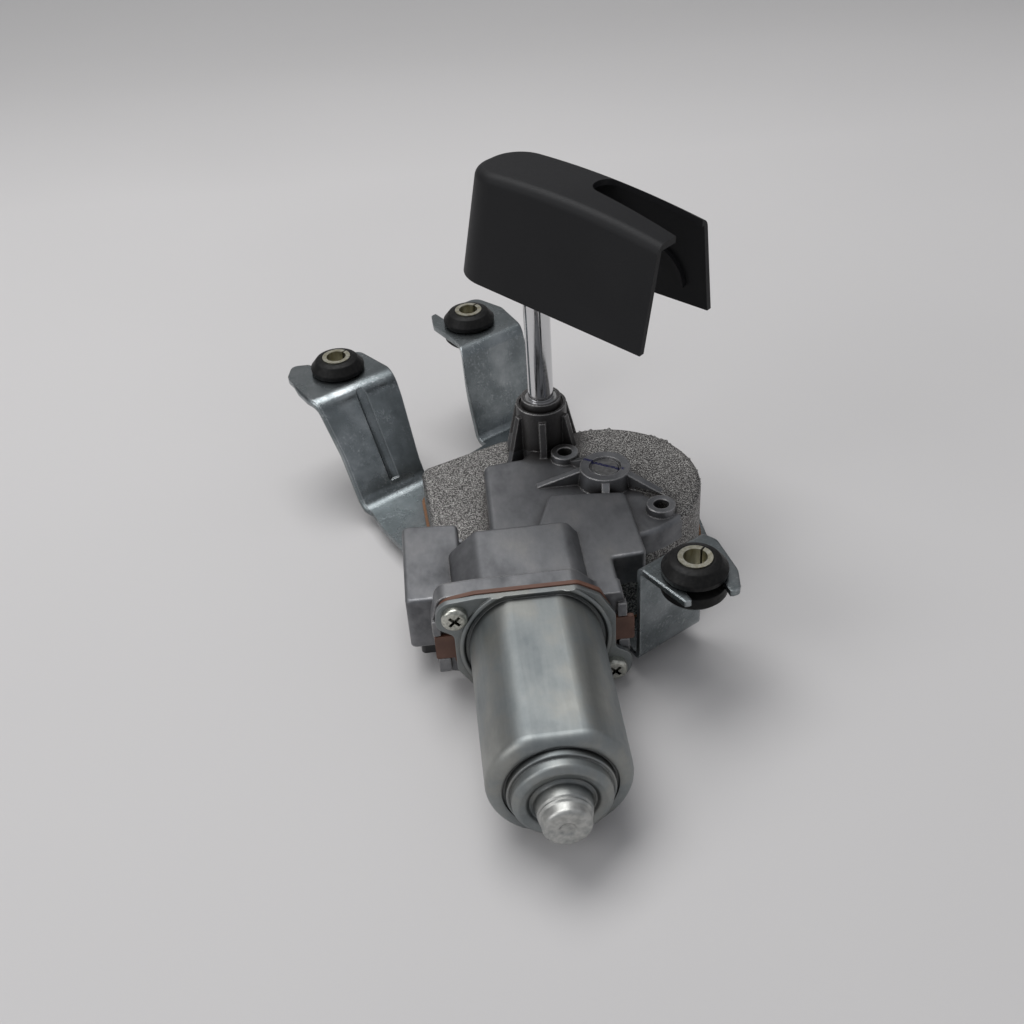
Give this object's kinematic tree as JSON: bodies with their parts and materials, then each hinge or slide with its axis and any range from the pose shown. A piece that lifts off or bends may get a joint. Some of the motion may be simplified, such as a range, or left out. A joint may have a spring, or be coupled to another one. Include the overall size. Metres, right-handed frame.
{
  "type": "wiper motor",
  "caption": "Wiper motor: round motor with worm gear in a cast case, output shaft with plastic arm cover, and a stamped bracket whose three arms carry rubber grommets.",
  "frame": {"origin": "on the output shaft's axis, in the plane of the tower's end face", "axes": "+Z along the output shaft to its free end, the motor's can points to -Y"},
  "size_m": [0.1446, 0.2527, 0.132],
  "materials": {
    "cast_aluminium": "sand cast skin, dull",
    "zinc_plate": "zinc plated sheet, bluish",
    "gasket": "dull",
    "screw_steel": "bright zinc",
    "rubber": "satin black",
    "sleeve_steel": "yellowish zinc",
    "sintered_bronze": "matte",
    "polished_steel": "ground and polished",
    "tool_steel": "machined",
    "core_steel": "stacked sheet",
    "copper": "bare and lacquered copper",
    "brass": "stamped sheet",
    "carbon": "pressed carbon",
    "magnet": "hard ferrite",
    "phenolic": "brown laminate",
    "black_plastic": "moulded black, fine grain",
    "natural_nylon": "moulded, greased"
  },
  "bodies": {
    "case": {"gear_housing": "cast_aluminium", "cover_bracket": "zinc_plate", "cover_gasket": "gasket", "cover_screws": "screw_steel", "rubber_grommets": "rubber", "grommet_sleeves": "sleeve_steel", "tower_bushes": "sintered_bronze", "shaft_seal": "rubber", "shaft_washer": "tool_steel", "wheel_pin": "tool_steel", "wheel_washer": "black_plastic", "motor_yoke": "zinc_plate", "flange_screws": "screw_steel", "brush_plate": "phenolic", "carbon_brushes": "carbon", "brush_holders": "brass", "brush_springs": "tool_steel", "field_magnets": "magnet", "front_bearing": "sintered_bronze", "rear_bearing": "sintered_bronze", "thrust_pads": "natural_nylon", "connector": "black_plastic", "connector_pins": "brass", "contact_base": "phenolic", "park_contacts": "copper"},
    "armature": {"armature_shaft": "tool_steel", "armature_core": "core_steel", "armature_winding": "copper", "commutator": "copper", "commutator_hub": "phenolic"},
    "wheel": {"worm_wheel": "natural_nylon", "crank_pin": "tool_steel"},
    "output": {"output_shaft": "polished_steel", "output_pinion": "tool_steel", "shaft_clip": "tool_steel"},
    "guide": {"guide_plate": "tool_steel", "pivot_pin": "tool_steel"},
    "link": {"sector_link": "tool_steel"},
    "cover": {"arm_cover": "black_plastic"}
  },
  "joints": [
    {"name": "armature_spin", "type": "hinge", "parent": "case", "child": "armature", "pos_m": [-0.0139, -0.0295, -0.0283], "axis": [0, 1, 0], "continuous": true},
    {"name": "wheel_spin", "type": "hinge", "parent": "case", "child": "wheel", "pos_m": [0.018, -0.0295, -0.0283], "axis": [0, 0, 1], "continuous": true},
    {"name": "output_swing", "type": "hinge", "parent": "case", "child": "output", "pos_m": [0, 0, 0], "axis": [0, 0, 1], "range_deg": [0, 109.33]},
    {"name": "guide_swing", "type": "hinge", "parent": "case", "child": "guide", "pos_m": [0, 0, 0], "axis": [0, 0, 1], "range_deg": [0, 48.66]},
    {"name": "link_swing", "type": "hinge", "parent": "guide", "child": "link", "pos_m": [-0.02705, -0.00332, 0], "axis": [0, 0, 1], "range_deg": [-30.35, 0]},
    {"name": "cover_lift", "type": "slide", "parent": "output", "child": "cover", "axis": [0, 0, 1], "range_m": [0, 0.06]}
  ],
  "couplings": [
    {"joint": "wheel_spin", "follows": "armature_spin", "ratio": 0.018182},
    {"joint": "guide_swing", "follows": "output_swing", "ratio": 0.44502},
    {"joint": "link_swing", "follows": "output_swing", "ratio": -0.27749}
  ]
}
